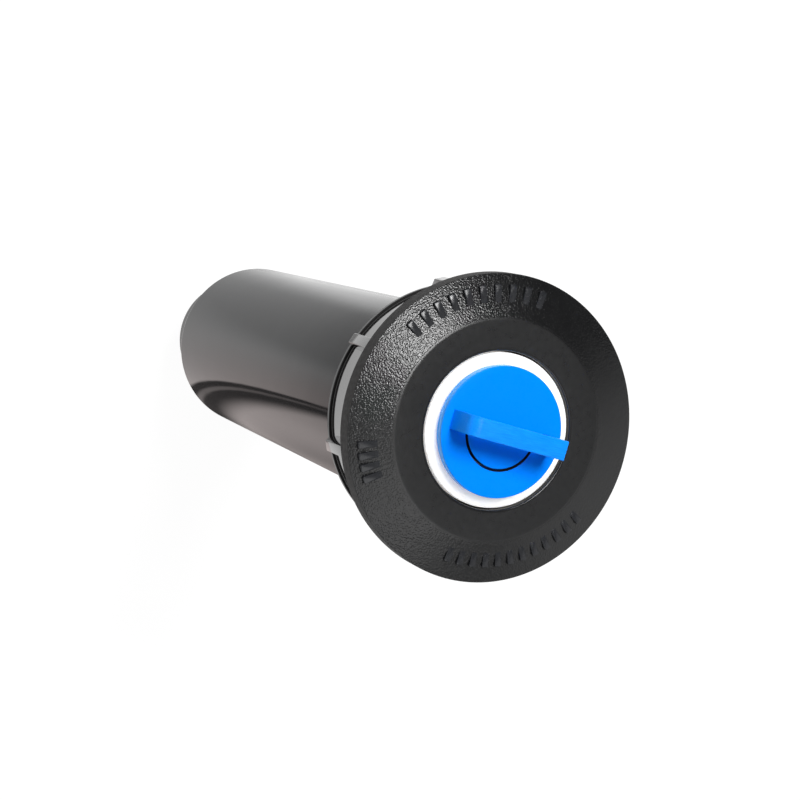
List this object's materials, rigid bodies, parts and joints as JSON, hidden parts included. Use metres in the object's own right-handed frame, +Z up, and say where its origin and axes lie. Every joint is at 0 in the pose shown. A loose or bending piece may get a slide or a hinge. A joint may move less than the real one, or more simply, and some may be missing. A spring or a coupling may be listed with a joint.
{
  "type": "pop-up sprinkler",
  "caption": "Pop-up spray head: tapered black case with threaded inlet, screw cap with grip ribs, sprung white riser and blue flush plug with a strap handle.",
  "frame": {"origin": "centre of the inlet boss's bottom face", "axes": "+Z up along the riser's pop-up direction; +Y along the plug's handle, towards its square end"},
  "size_m": [0.057, 0.057, 0.1606],
  "materials": {
    "gloss_black": "moulded, glossy",
    "grained_black": "leather grain on the cone, smooth flat ring",
    "soft_black": "matte",
    "grey_plastic": "moulded",
    "stainless_wire": "bright drawn wire",
    "white_plastic": "moulded, satin",
    "blue_plastic": "moulded, satin gloss"
  },
  "bodies": {
    "case": {"case_body": "gloss_black"},
    "carrier": {"spring_seat": "grey_plastic", "cap_gasket": "soft_black"},
    "cap": {"cap": "grained_black", "wiper_seal": "soft_black"},
    "ratchet": {"ratchet_ring": "grey_plastic", "retract_spring": "stainless_wire"},
    "riser": {"riser_stem": "white_plastic", "filter_basket": "grey_plastic"},
    "plug_carrier": {"plug_oring": "soft_black"},
    "plug": {"flush_plug": "blue_plastic"}
  },
  "joints": [
    {"name": "cap_lift", "type": "slide", "parent": "case", "child": "carrier", "axis": [0, 0, 1], "range_m": [0, 0.0081]},
    {"name": "cap_turn", "type": "hinge", "parent": "carrier", "child": "cap", "pos_m": [0, 0, 0.14], "axis": [0, 0, 1], "range_deg": [0, 720]},
    {"name": "riser_slide", "type": "slide", "parent": "carrier", "child": "ratchet", "axis": [0, 0, 1], "range_m": [0, 0.1], "stiffness_N_per_m": 140, "springref_m": -0.057, "deforming": ["retract_spring"]},
    {"name": "riser_turn", "type": "hinge", "parent": "ratchet", "child": "riser", "pos_m": [0, 0, 0.025], "axis": [0, 0, 1], "continuous": true},
    {"name": "plug_lift", "type": "slide", "parent": "riser", "child": "plug_carrier", "axis": [0, 0, 1], "range_m": [0, 0.00505]},
    {"name": "plug_turn", "type": "hinge", "parent": "plug_carrier", "child": "plug", "pos_m": [0, 0, 0.15], "axis": [0, 0, 1], "range_deg": [0, 720]}
  ],
  "couplings": [
    {"joint": "cap_lift", "follows": "cap_turn", "m_per_rad": 0.00063662},
    {"joint": "plug_lift", "follows": "plug_turn", "m_per_rad": 0.00039789}
  ]
}
